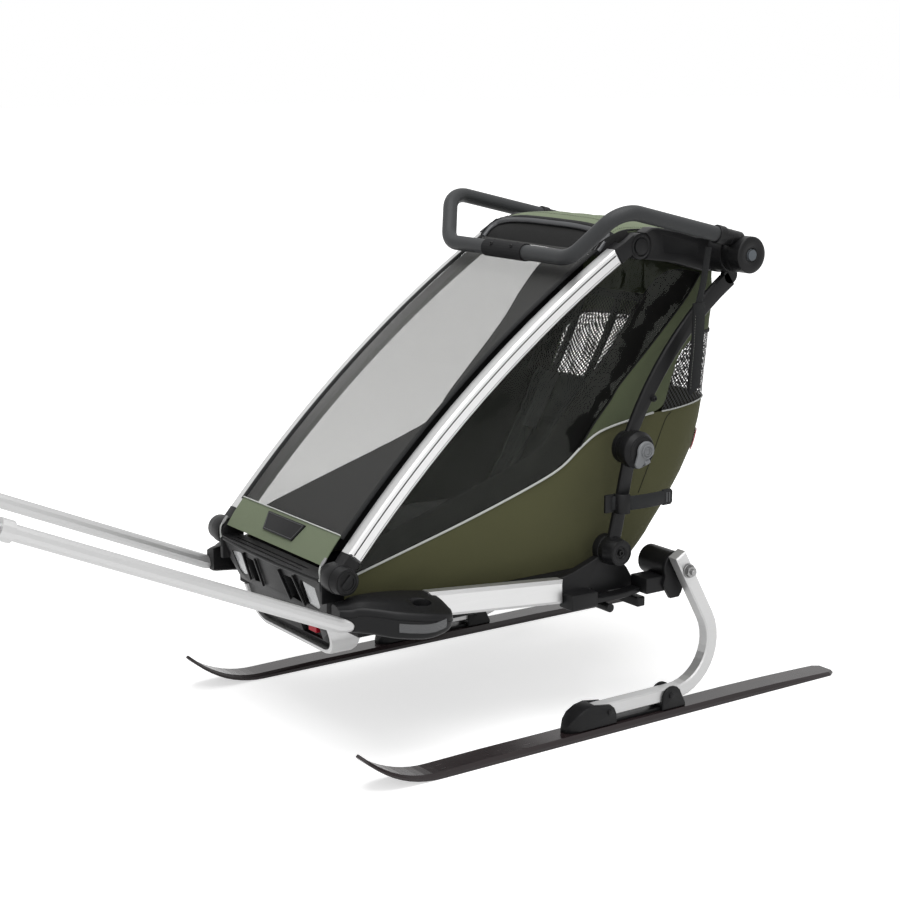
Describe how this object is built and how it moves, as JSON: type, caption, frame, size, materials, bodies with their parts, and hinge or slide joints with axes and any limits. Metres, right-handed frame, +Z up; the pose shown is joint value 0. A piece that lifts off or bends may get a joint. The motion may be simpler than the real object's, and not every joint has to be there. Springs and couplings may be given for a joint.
{
  "type": "child bike trailer",
  "caption": "Child trailer with a folding frame, fabric cabin with seat, push bar and pull poles, standing on a cross-country ski kit.",
  "frame": {"origin": "centre of the footprint's bounding box, on the ground under the skis", "axes": "+Z up, -Y to the front, where the pull poles reach, +X to the trailer's left side"},
  "size_m": [0.6678, 1.9298, 0.9234],
  "materials": {
    "black_plastic": "matte moulded",
    "bare_aluminium": "brushed",
    "satin_aluminium": "satin",
    "lever_grey": "matte",
    "post_black": "satin",
    "strap_rubber": "matte",
    "button_grey": "matte",
    "front_mesh": "open mesh",
    "green_cloth": "woven",
    "olive_cloth": "woven",
    "black_mesh": "open mesh",
    "floor_black": "coated",
    "seat_cloth": "padded",
    "spring_black": "satin",
    "catch_red": "satin",
    "ski_brown": "gloss"
  },
  "bodies": {
    "chassis": {"rail_left": "bare_aluminium", "rail_right": "bare_aluminium", "side_pod_left": "black_plastic", "side_pod_right": "black_plastic", "rear_casting_left": "black_plastic", "rear_casting_right": "black_plastic", "pole_left": "satin_aluminium", "pole_right": "satin_aluminium", "side_panel_left": "olive_cloth", "side_panel_right": "olive_cloth", "front_cradle": "black_plastic", "front_hoop": "satin_aluminium", "rear_crossbar": "black_plastic", "tie_bar": "black_plastic", "floor_tub": "floor_black", "seat_base": "seat_cloth", "seat_back": "seat_cloth", "rear_panel": "olive_cloth", "rear_mesh": "black_mesh"},
    "catch": {"hitch_tab": "catch_red"},
    "front_frame": {"pillar_left": "bare_aluminium", "pillar_right": "bare_aluminium", "pillar_foot_left": "black_plastic", "pillar_foot_right": "black_plastic", "corner_joint_left": "black_plastic", "corner_joint_right": "black_plastic", "roof_bow": "black_plastic", "front_mesh": "front_mesh", "front_flap": "green_cloth"},
    "roof_frame": {"top_arm_left": "black_plastic", "top_arm_right": "black_plastic", "upper_post_left": "black_plastic", "upper_post_right": "black_plastic", "canopy": "green_cloth"},
    "lower_posts": {"lower_post_left": "post_black", "lower_post_right": "post_black", "strap_latch_left": "strap_rubber", "strap_latch_right": "strap_rubber", "elbow_cap_left": "black_plastic", "elbow_cap_right": "black_plastic"},
    "push_bar": {"handlebar": "black_plastic", "grip_sleeve": "black_plastic"},
    "ski_unit_left": {"leaf_spring_left": "spring_black", "axle_housing_left": "black_plastic", "ski_arm_left": "satin_aluminium", "front_bracket_left": "black_plastic", "rear_bracket_left": "black_plastic", "ski_left": "ski_brown"},
    "pole_end_left": {"pole_front_left": "satin_aluminium"},
    "release_left": {"elbow_lever_left": "lever_grey"},
    "bar_button_left": {"hub_button_left": "button_grey"},
    "ski_unit_right": {"leaf_spring_right": "spring_black", "axle_housing_right": "black_plastic", "ski_arm_right": "satin_aluminium", "front_bracket_right": "black_plastic", "rear_bracket_right": "black_plastic", "ski_right": "ski_brown"},
    "pole_end_right": {"pole_front_right": "satin_aluminium"},
    "release_right": {"elbow_lever_right": "lever_grey"},
    "bar_button_right": {"hub_button_right": "button_grey"}
  },
  "joints": [
    {"name": "fold", "type": "hinge", "parent": "chassis", "child": "front_frame", "pos_m": [0, -0.07606, 0.3315], "axis": [-1, 0, 0], "range_deg": [0, 26], "deforming": ["seat_back", "rear_panel", "rear_mesh", "side_panel_left", "side_panel_right"]},
    {"name": "roof_fold", "type": "hinge", "parent": "front_frame", "child": "roof_frame", "pos_m": [0, 0.55244, 0.844], "axis": [-1, 0, 0], "range_deg": [0, 48]},
    {"name": "post_fold", "type": "hinge", "parent": "chassis", "child": "lower_posts", "pos_m": [0, 0.47794, 0.303], "axis": [1, 0, 0], "range_deg": [0, 51.6]},
    {"name": "push_bar_turn", "type": "hinge", "parent": "roof_frame", "child": "push_bar", "pos_m": [0, 0.74594, 0.824], "axis": [-1, 0, 0], "range_deg": [0, 170]},
    {"name": "catch_push", "type": "slide", "parent": "chassis", "child": "catch", "axis": [0, 1, 0], "range_m": [0, 0.005], "stiffness_N_per_m": 600},
    {"name": "suspension_left", "type": "hinge", "parent": "chassis", "child": "ski_unit_left", "pos_m": [0.2445, 0.42694, 0.2225], "axis": [1, 0, 0], "range_deg": [-3, 3], "stiffness_Nm_per_rad": 900},
    {"name": "pole_slide_left", "type": "slide", "parent": "chassis", "child": "pole_end_left", "axis": [0, -0.9164, 0.4003], "range_m": [0, 0.3]},
    {"name": "release_turn_left", "type": "hinge", "parent": "lower_posts", "child": "release_left", "pos_m": [0.267, 0.52394, 0.4852], "axis": [1, 0, 0], "range_deg": [0, 30], "stiffness_Nm_per_rad": 0.4},
    {"name": "button_push_left", "type": "slide", "parent": "push_bar", "child": "bar_button_left", "axis": [-1, 0, 0], "range_m": [0, 0.004], "stiffness_N_per_m": 500},
    {"name": "suspension_right", "type": "hinge", "parent": "chassis", "child": "ski_unit_right", "pos_m": [-0.2445, 0.42694, 0.2225], "axis": [1, 0, 0], "range_deg": [-3, 3], "stiffness_Nm_per_rad": 900},
    {"name": "pole_slide_right", "type": "slide", "parent": "chassis", "child": "pole_end_right", "axis": [0, -0.9164, 0.4003], "range_m": [0, 0.3]},
    {"name": "release_turn_right", "type": "hinge", "parent": "lower_posts", "child": "release_right", "pos_m": [-0.267, 0.52394, 0.4852], "axis": [1, 0, 0], "range_deg": [0, 30], "stiffness_Nm_per_rad": 0.4},
    {"name": "button_push_right", "type": "slide", "parent": "push_bar", "child": "bar_button_right", "axis": [1, 0, 0], "range_m": [0, 0.004], "stiffness_N_per_m": 500}
  ],
  "couplings": [
    {"joint": "roof_fold", "follows": "fold", "ratio": 1.8354},
    {"joint": "post_fold", "follows": "fold", "ratio": 1.9757}
  ]
}
